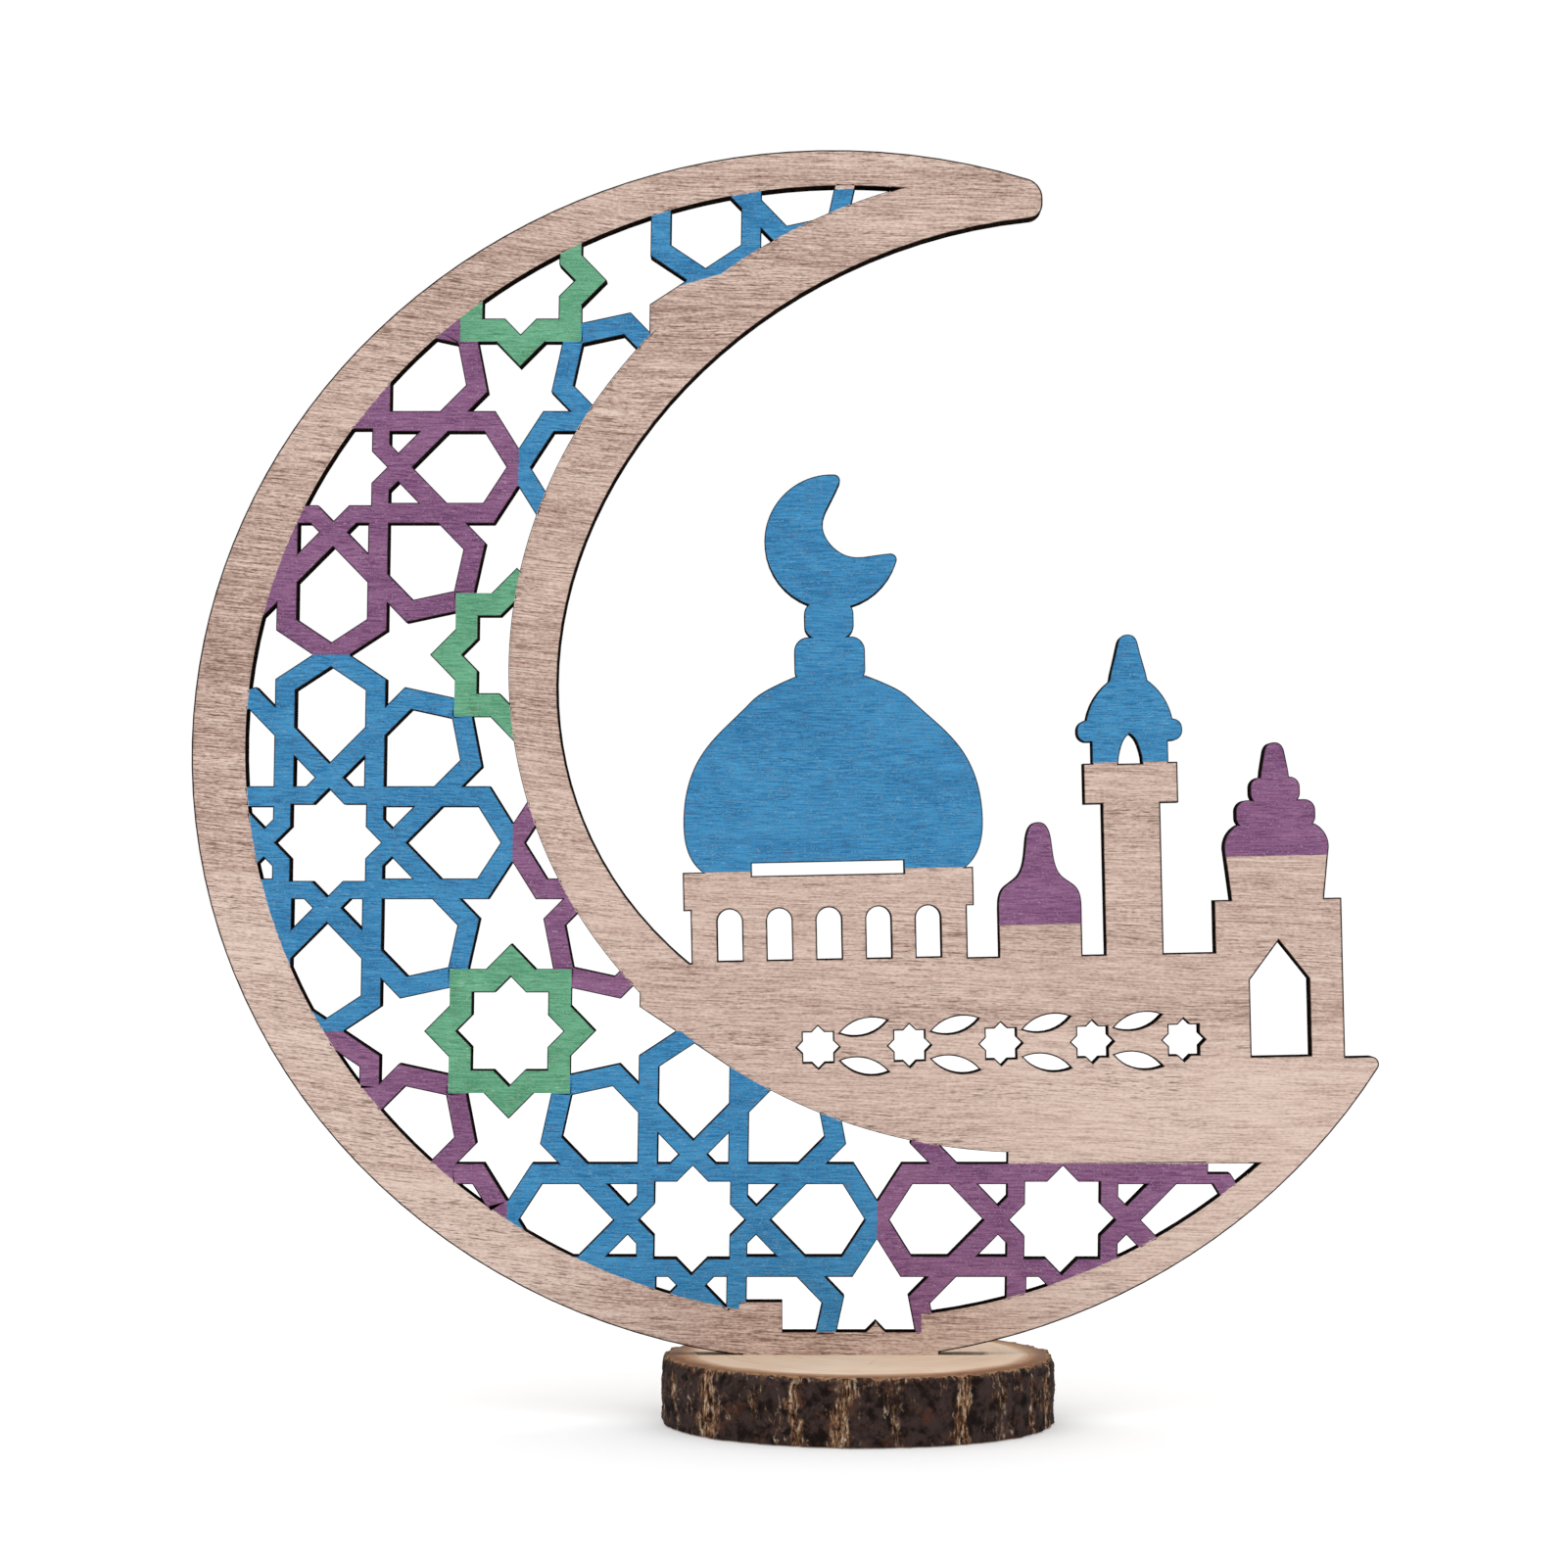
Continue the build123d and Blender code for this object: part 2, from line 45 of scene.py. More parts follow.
# Shader sums: one wire is one output socket of a material's node tree
class Wire:
    def __init__(self, tree, socket):
        self.tree = tree
        self.socket = socket

    # adds a node, sets it up, then fills its sockets with values or wires
    def node(self, kind, inputs, output=0, stops=(), **settings):
        made = self.tree.nodes.new("ShaderNode" + kind)
        for name, value in settings.items():
            setattr(made, name, value)
        for number, (place, colour) in enumerate(stops):
            elements = made.color_ramp.elements
            element = elements[number] if number < 2 else elements.new(place)
            element.position = place
            element.color = colour
        for name, value in inputs.items():
            if isinstance(value, Wire):
                self.tree.links.new(value.socket, made.inputs[name])
            else:
                made.inputs[name].default_value = value
        return Wire(self.tree, made.outputs[output])

    def sum(self, operation, first, second):
        return self.node("Math", {0: first, 1: second}, operation=operation)

    def __add__(self, other):
        return self.sum("ADD", self, other)

    def __radd__(self, other):
        return self.sum("ADD", other, self)

    def __sub__(self, other):
        return self.sum("SUBTRACT", self, other)

    def __rsub__(self, other):
        return self.sum("SUBTRACT", other, self)

    def __mul__(self, other):
        return self.sum("MULTIPLY", self, other)

    def __rmul__(self, other):
        return self.sum("MULTIPLY", other, self)

    def __truediv__(self, other):
        return self.sum("DIVIDE", self, other)

    def __pow__(self, other):
        return self.sum("POWER", self, other)


# Screen colours 0 to 255 as Blender's linear colours
def paint(red, green, blue):
    shares = [value / 255 for value in (red, green, blue)]
    linear = [s / 12.92 if s <= 0.04045 else ((s + 0.055) / 1.055) ** 2.4 for s in shares]
    return (*linear, 1.0)


def startMaterial(name):
    material = bpy.data.materials.new(name)
    material.use_nodes = True
    tree = material.node_tree
    spot = Wire(tree, tree.nodes.new("ShaderNodeTexCoord").outputs["Object"])
    inMillimetres = spot.node("Mapping", {"Vector": spot, "Scale": (1 / mm,) * 3})
    return material, tree.nodes["Principled BSDF"], inMillimetres


def plug(shader, **wires):
    for name, wire in wires.items():
        wire.tree.links.new(wire.socket, shader.inputs[name.replace("_", " ")])


def setGloss(shader, level):
    shader.inputs["Specular IOR Level"].default_value = level


def split(spot):
    return [spot.node("SeparateXYZ", {0: spot}, output=axis) for axis in range(3)]


def joined(x, y, z):
    wire = next(part for part in (x, y, z) if isinstance(part, Wire))
    return wire.node("CombineXYZ", {0: x, 1: y, 2: z})


def cloud(spot, scale, detail=2.0, roughness=0.5):
    inputs = {"Vector": spot, "Scale": scale, "Detail": detail, "Roughness": roughness}
    return spot.node("TexNoise", inputs)


# Noise on a sheet, with a scale along x and one along z; the seed is its place along y
def drawn(x, z, across, up, seed=0.0, detail=2.0, roughness=0.5):
    return cloud(joined(x * across, seed, z * up), 1.0, detail, roughness)


# Noise in the round, with a scale along each axis
def stretched(x, y, z, scales, detail=2.0, roughness=0.5):
    alongX, alongY, alongZ = scales
    return cloud(joined(x * alongX, y * alongY, z * alongZ), 1.0, detail, roughness)


# Noise lies round a half, and this swings it round nought
def swing(cloudy, reach):
    return (cloudy - 0.5) * reach


# Rises from nought to one between the limits
def ease(value, low, high):
    inputs = {0: value, 1: low, 2: high, 3: 0.0, 4: 1.0}
    return value.node("MapRange", inputs, interpolation_type="SMOOTHSTEP")


def fade(value, low, high):
    return 1.0 - ease(value, low, high)


# Rises between the limits, with an uneven edge
def frayed(value, cloudy, reach, low, high):
    return ease(value + swing(cloudy, reach), low, high)


def mixed(share, first, second):
    return share.node("Mix", {0: share, 6: first, 7: second}, output=2, data_type="RGBA")


def ramp(value, stops):
    return value.node("ValToRGB", {0: value}, stops=stops)


def turnAround(x, y):
    return y.sum("ARCTAN2", y, x)


def bumped(height, distance, strength):
    return height.node("Bump", {"Height": height, "Distance": distance, "Strength": strength})


def attribute(spot, name):
    return spot.node("Attribute", {}, output=2, attribute_name=name)


# These four, and sums of them, work on plain numbers too
def largest(first, second):
    return first.sum("MAXIMUM", first, second) if isinstance(first, Wire) else max(first, second)


def smallest(first, second):
    return first.sum("MINIMUM", first, second) if isinstance(first, Wire) else min(first, second)


def size(value):
    return value.sum("ABSOLUTE", value, 0.0) if isinstance(value, Wire) else abs(value)


# At least this share everywhere, and the rest of it where the crowd is
def crowded(crowd, least):
    return least + (1 - least) * crowd


# Veneer: level grain with short pores, coarser round the crescent than at the skyline; painted
# shade darkens the crescent's top, left side and foot, and painted light brightens the lower left
# and lower right
veneerLook = {
    "pale": paint(218, 196, 184),
    "middle": paint(193, 168, 155),
    "deep": paint(137, 108, 97),
    "pore": paint(92, 62, 53),
    "stops": (0.22, 0.54, 0.92),
    "tone": 0.5,
    # scale along x and z, seed, detail and roughness
    "patterns": {
        "wave": (0.016, 0.045, 0.0, 1.0),
        "ripple": (0.07, 0.22, 0.0, 1.0),
        "bands": (0.008, 0.16, 0.0, 3.0, 0.6),
        "streaks": (0.025, 1.3, 17.0, 3.0, 0.6),
        "fibre": (0.11, 4.6, 0.0, 3.0, 0.7),
        "hairs": (0.30, 6.2, 21.0, 2.0, 0.6),
        "specks": (1.7, 3.8, 31.0, 2.0, 0.7),
        "crowd": (0.045, 0.2, 7.0),
        "dashes": (0.36, 5.4, 3.0),
        "ticks": (0.9, 7.0, 13.0, 1.0),
    },
    "weights": {
        "wave": 3.0,
        "ripple": 0.7,
        "bands": 0.40,
        "streaks": 0.55,
        "fibre": 1.15,
        "hairs": 0.95,
        "specks": 0.85,
        "grain": 1.05,
    },
    "coarseBands": 0.35,
    "coarseGrain": 0.3,
    "coarsePores": 0.10,
    "crowdLimits": (0.42, 0.66),
    "dashLimits": (0.57, 0.66),
    "tickLimits": (0.62, 0.70),
    "tickShare": 0.8,
    "leastPores": 0.22,
    "poreShare": 0.72,
    "slant": 0.03,
    "rimSlant": (30.0, 0.08),
    # zones, in millimetres from where to where
    "leftRim": (14.0, 60.0),
    "horn": (96.0, 126.0),
    "hornShare": 0.7,
    # the foot: coarser grain, and painted shade
    "foot": (8.0, 26.0),
    "footLeft": (-45.0, -25.0),
    "footRight": (2.0, 26.0),
    # painted shade on the crescent's left side, near mid height
    "shadeLeftSide": (58.0, 78.0),
    "shadeLeftHeight": 93.0,
    "shadeLeftReach": (12.0, 28.0),
    # painted shade over the top
    "paintedShadeTop": (66.0, 92.0),
    "topShadeShare": 0.5,
    # painted light low on the right and low on the left
    "paintedLightRight": ((0.0, 30.0), (40.0, 52.0)),
    "paintedLightLeft": ((25.0, 45.0), (60.0, 80.0)),
    # how strong the painted shade and the painted light are
    "paintedShadeStrength": 0.13,
    "paintedLightStrength": 0.10,
}


# How coarse the grain is at a place, and how much painted shade it gets there, less the painted
# light
def veneerZones(x, z):
    look = veneerLook
    leftwards = -1.0 * x
    foot = fade(z, *look["foot"]) * ease(x, *look["footLeft"]) * fade(x, *look["footRight"])
    horn = ease(z, *look["horn"]) * look["hornShare"]
    coarse = largest(largest(ease(leftwards, *look["leftRim"]), horn), foot)
    nearShadeLeft = fade(size(z - look["shadeLeftHeight"]), *look["shadeLeftReach"])
    paintedShadeLeft = ease(leftwards, *look["shadeLeftSide"]) * nearShadeLeft
    paintedShadeTop = ease(z, *look["paintedShadeTop"]) * look["topShadeShare"]
    across, up = look["paintedLightRight"]
    paintedLightRight = ease(x, *across) * fade(z, *up)
    across, up = look["paintedLightLeft"]
    paintedLightLeft = ease(leftwards, *across) * fade(z, *up)
    # painted shade on the left side, the foot and the top, less painted light low on both sides
    dark = largest(largest(paintedShadeLeft, foot), paintedShadeTop) * look["paintedShadeStrength"]
    return coarse, dark - largest(paintedLightRight, paintedLightLeft) * look["paintedLightStrength"]


def veneerGrain(spot):
    look = veneerLook
    weights = look["weights"]
    x, _, z = split(spot)

    def pattern(name, height):
        return drawn(x, height, *look["patterns"][name])

    def swung(name, height):
        return swing(pattern(name, height), weights[name])

    # shade: the painted shade and painted light of the zones
    coarse, shade = veneerZones(x, z)
    rimStart, rimSlope = look["rimSlant"]
    slope = x * look["slant"] - largest(-1.0 * x - rimStart, 0.0) * rimSlope
    level = z + slope + swung("wave", z) + swung("ripple", z)
    crowd = ease(pattern("crowd", level) + coarse * look["coarsePores"], *look["crowdLimits"])
    dashes = ease(pattern("dashes", level), *look["dashLimits"])
    ticks = ease(pattern("ticks", level), *look["tickLimits"])
    pores = largest(dashes, ticks * look["tickShare"]) * crowded(crowd, look["leastPores"])
    bands = swing(pattern("bands", level), weights["bands"] + look["coarseBands"] * coarse)
    figure = bands + swung("streaks", level) + shade
    fibre = pattern("fibre", level)
    grain = swing(fibre, weights["fibre"]) + swung("hairs", level) + swung("specks", level)
    tone = look["tone"] + figure + grain * (weights["grain"] + look["coarseGrain"] * coarse)
    first, between, last = look["stops"]
    stops = [(first, look["pale"]), (last, look["deep"]), (between, look["middle"])]
    colour = mixed(pores * look["poreShare"], ramp(tone, stops), look["pore"])
    return colour, pores, fibre


# Laser-cut edges: black walls, and a brown line where a wall meets a face
charLook = {
    "black": paint(10, 8, 7),
    "brown": paint(34, 24, 19),
    "line": paint(24, 17, 14),
    "kerf": ((3.0, 0.35, 3.0), 2.0, 0.6),
    "sootLimits": (0.35, 0.75),
    "glueLine": 0.9,
    "glueWidth": (0.02, 0.10),
    "glueShare": 0.6,
    "patches": (0.8, 2.0),
    "scorchLimits": (0.35, 0.18, 0.66),
}


def charred(spot):
    look = charLook
    x, y, z = split(spot)
    kerf = stretched(x, y, z, *look["kerf"])
    ply = fade(size(size(y) - look["glueLine"]), *look["glueWidth"])
    soot = mixed(ease(kerf, *look["sootLimits"]), look["black"], look["brown"])
    return mixed(ply * look["glueShare"], soot, look["black"]), kerf


def scorchMask(spot):
    patches = cloud(spot, *charLook["patches"])
    return frayed(attribute(spot, "scorch"), patches, *charLook["scorchLimits"])


plywoodLook = {
    "roughness": 0.60,
    "fibreRoughness": 0.12,
    "scorchRoughness": 0.15,
    "fibreBump": 0.4,
    "kerfBump": 0.8,
    "bump": (0.00006, 0.6),
    "gloss": 0.0,
}


def plywoodFinish():
    look = plywoodLook
    material, shader, spot = startMaterial("plywood_veneer")
    colour, pores, fibre = veneerGrain(spot)
    soot, kerf = charred(spot)
    scorch = scorchMask(spot)
    rough = look["roughness"] + look["fibreRoughness"] * fibre + look["scorchRoughness"] * scorch
    height = fibre * look["fibreBump"] - pores + kerf * scorch * look["kerfBump"]
    plug(
        shader,
        Base_Color=mixed(scorch, colour, soot),
        Roughness=rough,
        Normal=bumped(height, *look["bump"]),
    )
    setGloss(shader, look["gloss"])
    return material


# Lattice window, in millimetres: where the print ends and the bare veneer starts
windowEdge = {
    "rim": (-1.5, 85.1, 76.3, 72.0),
    "band": (23.42, 96.8, 68.0, 62.6),
    "bandTurn": math.radians(9.8),
    "ledge": (18.2, 32.65),
    "sill": (-0.8, 8.8, 11.4),
    "step": (-14.8, -9.6, 15.2),
    "peak": (1.8, 2.6, 13.6),
    "sliver": (-28.4, -22.6, 49.4, 54.6),
    "wedge": (-26.45, 137.0),
    "wedgeLine": (-21.83, 144.56, 0.294),
    "tip": (-11.5, 150.0, 0.45),
    "bleed": (-0.04, 0.06),
    "uneven": 0.25,
}


# How far a place lies past the window's edge, below nought inside it
def pastWindow(x, z):
    edge = windowEdge
    rimX, rimZ, rimWide, rimHigh = edge["rim"]
    across = (x - rimX) / rimWide
    up = (z - rimZ) / rimHigh
    pastRim = ((across * across + up * up) ** 0.5 - 1.0) * rimHigh
    bandX, bandZ, bandWide, bandHigh = edge["band"]
    c, s = math.cos(edge["bandTurn"]), math.sin(edge["bandTurn"])
    across = ((x - bandX) * c + (z - bandZ) * s) / bandWide
    up = ((z - bandZ) * c - (x - bandX) * s) / bandHigh
    pastBand = (1.0 - (across * across + up * up) ** 0.5) * bandHigh
    pastLedge = smallest(x - edge["ledge"][0], z - edge["ledge"][1])
    sillX, sillHalf, sillZ = edge["sill"]
    inSill = smallest(sillHalf - size(x - sillX), z - sillZ)
    stepLeft, stepRight, stepTop = edge["step"]
    inStep = smallest(smallest(x - stepLeft, stepRight - x), stepTop - z)
    peakX, peakHalf, peakTop = edge["peak"]
    inPeak = smallest(peakHalf - size(x - peakX), peakTop - z)
    left, right, low, high = edge["sliver"]
    inSliver = smallest(smallest(x - left, right - x), smallest(z - low, high - z))
    wedgeX, wedgeZ = edge["wedge"]
    lineX, lineZ, slope = edge["wedgeLine"]
    inWedge = smallest(smallest(x - wedgeX, z - wedgeZ), (x - lineX) * slope - (z - lineZ))
    tipX, tipZ, tipWide = edge["tip"]
    inTip = smallest(smallest(x - tipX, z - tipZ), pastRim + tipWide)
    past = largest(smallest(pastRim, 0.0 - inSill), largest(inStep, inPeak))
    past = largest(largest(past, inSliver), largest(inWedge, inTip))
    return largest(past, largest(pastBand, pastLedge))


# Printed ink: matte colour over the grain, with flecks where the wood shows
inkColours = {
    "blue_ink": {
        "tint": paint(68, 142, 188),
        "deep": paint(38, 104, 152),
        "fleck": paint(146, 186, 202),
    },
    "purple_ink": {
        "tint": paint(143, 99, 135),
        "deep": paint(102, 62, 100),
        "fleck": paint(198, 172, 190),
    },
    "green_ink": {
        "tint": paint(108, 172, 136),
        "deep": paint(76, 138, 104),
        "fleck": paint(184, 212, 192),
    },
}
inkLook = {
    "patterns": {
        "drift": (0.05, 0.25),
        "lines": (0.30, 4.4, 1.0, 2.0, 0.6),
        "hairs": (0.30, 5.6, 23.0, 2.0, 0.6),
        "crowd": (0.07, 0.3, 5.0),
        "dashes": (0.9, 5.0, 9.0, 2.0, 0.6),
        "scratches": (0.40, 6.5, 27.0, 1.0),
    },
    "dots": (4.2, 1.0),
    "weights": {"drift": 0.5, "lines": 0.9, "hairs": 0.6, "dots": 0.8, "pores": 0.45},
    "deepLimits": (1.18, 1.66),
    "crowdLimits": (0.40, 0.66),
    "fleckLimits": (0.59, 0.74),
    "scratchLimits": (0.62, 0.70),
    "least": 0.3,
    "paleDots": (0.57, 0.72),
    "paleShare": 0.32,
    "darkDots": (0.30, 0.42),
    "darkShare": 0.35,
    "fleckShare": 0.65,
    "scratchShare": 0.5,
    "roughness": 0.55,
    "lineRoughness": 0.2,
    "lineBump": 0.6,
    "fleckBump": 0.4,
    "bump": (0.00005, 0.6),
    "gloss": 0.06,
}


def inkFinish(name, onLattice):
    look = inkLook
    colours = inkColours[name]
    weights = look["weights"]
    material, shader, spot = startMaterial(name + ("_lattice" if onLattice else "_roof"))
    x, _, z = split(spot)
    wood, pores, _ = veneerGrain(spot)
    noises = {key: drawn(x, z, *pattern) for key, pattern in look["patterns"].items()}
    lines = noises["lines"]
    dots = cloud(spot, *look["dots"])
    crowd = ease(noises["crowd"], *look["crowdLimits"])
    flecks = ease(noises["dashes"], *look["fleckLimits"]) * crowded(crowd, look["least"])
    scratches = ease(noises["scratches"], *look["scratchLimits"])
    scratches = scratches * crowded(1.0 - crowd, look["least"])
    tone = noises["drift"] * weights["drift"] + lines * weights["lines"]
    tone = tone + noises["hairs"] * weights["hairs"] + dots * weights["dots"]
    tone = tone + pores * weights["pores"]
    colour = mixed(ease(tone, *look["deepLimits"]), colours["tint"], colours["deep"])
    colour = mixed(ease(dots, *look["paleDots"]) * look["paleShare"], colour, colours["fleck"])
    colour = mixed(fade(dots, *look["darkDots"]) * look["darkShare"], colour, colours["deep"])
    colour = mixed(flecks * look["fleckShare"], colour, colours["fleck"])
    colour = mixed(scratches * look["scratchShare"], colour, veneerLook["pore"])
    if onLattice:
        bare = frayed(pastWindow(x, z), dots, windowEdge["uneven"], *windowEdge["bleed"])
        colour = mixed(bare, colour, wood)
    height = lines * look["lineBump"] + flecks * look["fleckBump"] - pores
    plug(
        shader,
        Base_Color=mixed(scorchMask(spot), colour, charLook["line"]),
        Roughness=look["roughness"] + look["lineRoughness"] * lines,
        Normal=bumped(height, *look["bump"]),
    )
    setGloss(shader, look["gloss"])
    return material


def selectOnly(piece):
    bpy.ops.object.select_all(action="DESELECT")
    piece.select_set(True)
    bpy.context.view_layer.objects.active = piece


def copyOfNode(node, name):
    piece = bpy.data.objects.new(name, nodes[node].data.copy())
    piece.data.name = name
    bpy.context.scene.collection.objects.link(piece)
    selectOnly(piece)
    bpy.ops.object.mode_set(mode="EDIT")
    bpy.ops.mesh.select_all(action="SELECT")
    bpy.ops.mesh.remove_doubles(threshold=sameSpot)
    bpy.ops.mesh.customdata_custom_splitnormals_clear()
    bpy.ops.object.mode_set(mode="OBJECT")
    return piece


# Which faces are walls and which are flat, by how far they turn to the front or the back
facing = {"wall": 0.5, "flat": 0.99}


# Ends, seen from the front, of every wall edge on the face at this depth
def wallLines(piece, depth):
    mesh = piece.data
    rows = []
    for face in mesh.polygons:
        if abs(face.normal.y) < facing["wall"]:
            for first, second in face.edge_keys:
                a, b = mesh.vertices[first].co, mesh.vertices[second].co
                if abs(a.y - depth) < sameDepth and abs(b.y - depth) < sameDepth:
                    rows.append((a.x, a.z, b.x, b.z))
    return np.array(rows)


def nearLine(point, lines):
    start, run = lines[:, :2], lines[:, 2:] - lines[:, :2]
    offset = np.array((point.x, point.z)) - start
    share = np.clip((offset * run).sum(1) / np.maximum((run * run).sum(1), leastRun), 0, 1)
    return np.sqrt(((offset - share[:, None] * run) ** 2).sum(1).min())


# Insets a narrow border into both flat faces, eases it back and marks it for the scorch
def laserEdge(piece, look, cutLines):
    mesh = piece.data
    bpy.context.tool_settings.mesh_select_mode = (False, False, True)
    for face in mesh.polygons:
        face.select = abs(face.normal.y) > facing["flat"]
    selectOnly(piece)
    bpy.ops.object.mode_set(mode="EDIT")
    bpy.ops.mesh.inset(thickness=look["border"], use_boundary=True, use_even_offset=True)
    bpy.ops.object.mode_set(mode="OBJECT")
    inner = {corner for face in mesh.polygons if face.select for corner in face.vertices}
    scorch = mesh.attributes.new("scorch", "FLOAT", "CORNER").data
    for face in mesh.polygons:
        if face.select:
            continue
        outline = [mesh.vertices[corner].co for corner in face.vertices if corner not in inner]
        middle = sum(outline, Vector()) / len(outline)
        onCut = nearLine(middle, cutLines) < look["reach"]
        for loop in face.loop_indices:
            isOuter = mesh.loops[loop].vertex_index not in inner
            scorch[loop].value = 1.0 if onCut and isOuter else 0.0
    depths = [vertex.co.y for vertex in mesh.vertices]
    backAndFront = max(depths), min(depths)
    for vertex in mesh.vertices:
        if vertex.index in inner:
            continue
        for depth in backAndFront[look["faces"]]:
            if abs(vertex.co.y - depth) < sameDepth:
                past = pastWindow(vertex.co.x / mm, vertex.co.z / mm)
                onRim = look["thins"] and past > look["rim"]
                vertex.co.y -= math.copysign(look["thins"] if onRim else look["ease"], depth)
    selectOnly(piece)
    bpy.ops.object.shade_smooth_by_angle(angle=look["smooth"])


# Panel: the pierced sheet with scorched edges on both faces
panelLook = {
    "border": 0.00030,
    "reach": 0.00006,
    "ease": 0.00003,
    "thins": 0.0,
    "faces": slice(0, 2),  # back and front
    "smooth": math.radians(28),
}
panel = copyOfNode("pierced_panel", "laser_cut_panel")
panelFront = min(vertex.co.y for vertex in panel.data.vertices)
cutLines = wallLines(panel, panelFront)
laserEdge(panel, panelLook, cutLines)
panel.data.materials.clear()
panel.data.materials.append(plywoodFinish())
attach(panel, "panel")
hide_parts("pierced_panel")
print("panel has", len(panel.data.polygons), "faces and", len(cutLines), "cut lines")

# Printed areas: one thin coat each, thinner still where it runs onto the lattice window's rim
printLook = {
    "border": 0.00022,
    "reach": 0.00006,
    "ease": 0.00002,
    "thins": 0.000075,
    "rim": 0.05,
    "faces": slice(1, 2),  # front only
    "smooth": math.radians(28),
}
roofPrintLook = {**printLook, "thins": 0.0}
inkSlots = {"blue": "blue_ink", "purple": "purple_ink", "green": "green_ink"}
inks = {(slot, on): inkFinish(slot, on) for slot in inkSlots.values() for on in (True, False)}
for node in sorted(nodes):
    slot = inkSlots.get(node.split("_")[0])
    if slot:
        coat = copyOfNode(node, "printed_" + node)
        onLattice = "rosette" in node or "star" in node
        laserEdge(coat, printLook if onLattice else roofPrintLook, cutLines)
        coat.data.materials.clear()
        coat.data.materials.append(inks[slot, onLattice])
        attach(coat, "panel")
        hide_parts(node)
print("printed coats done")


# Branch slice, in millimetres
branch = {
    "wood": 21.4,
    "innerBark": 23.6,
    "outerBark": 24.6,
    "height": 8.5,
    "wobble": 0.3,
    "lobes": ((2, 0.7, 1.0), (3, 2.0, 0.6)),  # how many, from what angle, how strong
    "ridges": 23,
    "drift": 0.35,
    "driftWaves": 5,
    "ridge": 0.3,
}


def branchReach(radius, angle):
    sway = sum(share * math.cos(count * angle + start) for count, start, share in branch["lobes"])
    return radius + branch["wobble"] * sway


# Sanded end grain: cream, with faint rings, rays and a browner rim, and painted shade in the
# groove
woodLook = {
    "cream": paint(246, 222, 197),
    "tan": paint(230, 199, 168),
    "ray": paint(200, 166, 134),
    "rim": paint(176, 128, 88),
    "paintedGrooveShade": paint(44, 31, 24),
    "pith": (3.5, 2.0),
    "stir": (0.12, 2.0),
    "ringStir": 3.0,
    "rimStir": 2.4,
    "rings": (0.9, 0.6),
    "rays": (14.0, 0.06, 2.0),
    "saw": (0.2, 2.2),
    "weights": {"rings": 0.55, "stir": 0.35, "saw": 0.15},
    "tanLimits": (0.38, 0.72),
    "rayLimits": (0.66, 0.78),
    "rayShare": 0.45,
    "rimLimits": (branch["wood"] - 1.2, branch["wood"] + 0.2),
    "rimShare": 0.7,
    "grooveHalf": (1.9, 2.1),
    "grooveFoot": (1.5, 2.5),
    "grooveTop": (branch["height"] - 0.7, branch["height"] - 0.05),
    "grooveShadeShare": 0.9,
    "roughness": 0.62,
    "ringRoughness": 0.15,
    "ringBump": 0.5,
    "bump": (0.00008, 0.5),
}


def sliceWoodFinish():
    look = woodLook
    weights = look["weights"]
    material, shader, spot = startMaterial("sanded_end_grain")
    x, y, z = split(spot)
    stir = cloud(spot, *look["stir"])
    pithX, pithY = look["pith"]
    fromPithX, fromPithY = x - pithX, y - pithY
    reach = (fromPithX * fromPithX + fromPithY * fromPithY) ** 0.5 + swing(stir, look["ringStir"])
    ringScale, ringRough = look["rings"]
    rings = cloud(joined(reach * ringScale, 0.0, 0.0), 1.0, roughness=ringRough)
    rayTurn, rayLength, raySeed = look["rays"]
    turn = turnAround(fromPithX, fromPithY)
    rays = cloud(joined(turn * rayTurn, reach * rayLength, raySeed), 1.0)
    sawAcross, sawAlong = look["saw"]
    saw = cloud(joined(x * sawAcross, y * sawAlong, 0.0), 1.0)
    tone = rings * weights["rings"] + stir * weights["stir"] + saw * weights["saw"]
    colour = mixed(ease(tone, *look["tanLimits"]), look["cream"], look["tan"])
    colour = mixed(ease(rays, *look["rayLimits"]) * look["rayShare"], colour, look["ray"])
    nearRim = frayed((x * x + y * y) ** 0.5, stir, look["rimStir"], *look["rimLimits"])
    colour = mixed(nearRim * look["rimShare"], colour, look["rim"])
    # painted shade: the inside of the groove is darkened nearly to black
    sunk = fade(z, *look["grooveTop"]) * ease(z, *look["grooveFoot"])
    inGroove = sunk * fade(size(y), *look["grooveHalf"])
    colour = mixed(inGroove * look["grooveShadeShare"], colour, look["paintedGrooveShade"])
    plug(
        shader,
        Base_Color=colour,
        Roughness=look["roughness"] + look["ringRoughness"] * rings,
        Normal=bumped(saw + rings * look["ringBump"], *look["bump"]),
    )
    return material


# Inner bark: brown and fibrous, darker outwards
innerBarkLook = {
    "tan": paint(190, 148, 108),
    "brown": paint(158, 114, 80),
    "dark": paint(134, 94, 66),
    "stops": (0.0, 0.55, 1.0),
    "stir": (0.5, 3.0),
    "stirReach": 1.6,
    "layers": (2.6, 2.5, 0.3),
    "darkLimits": (0.8, branch["wood"], branch["innerBark"] - 0.1),
    "roughness": 0.7,
    "layerRoughness": 0.15,
    "bump": (0.00015, 0.6),
}


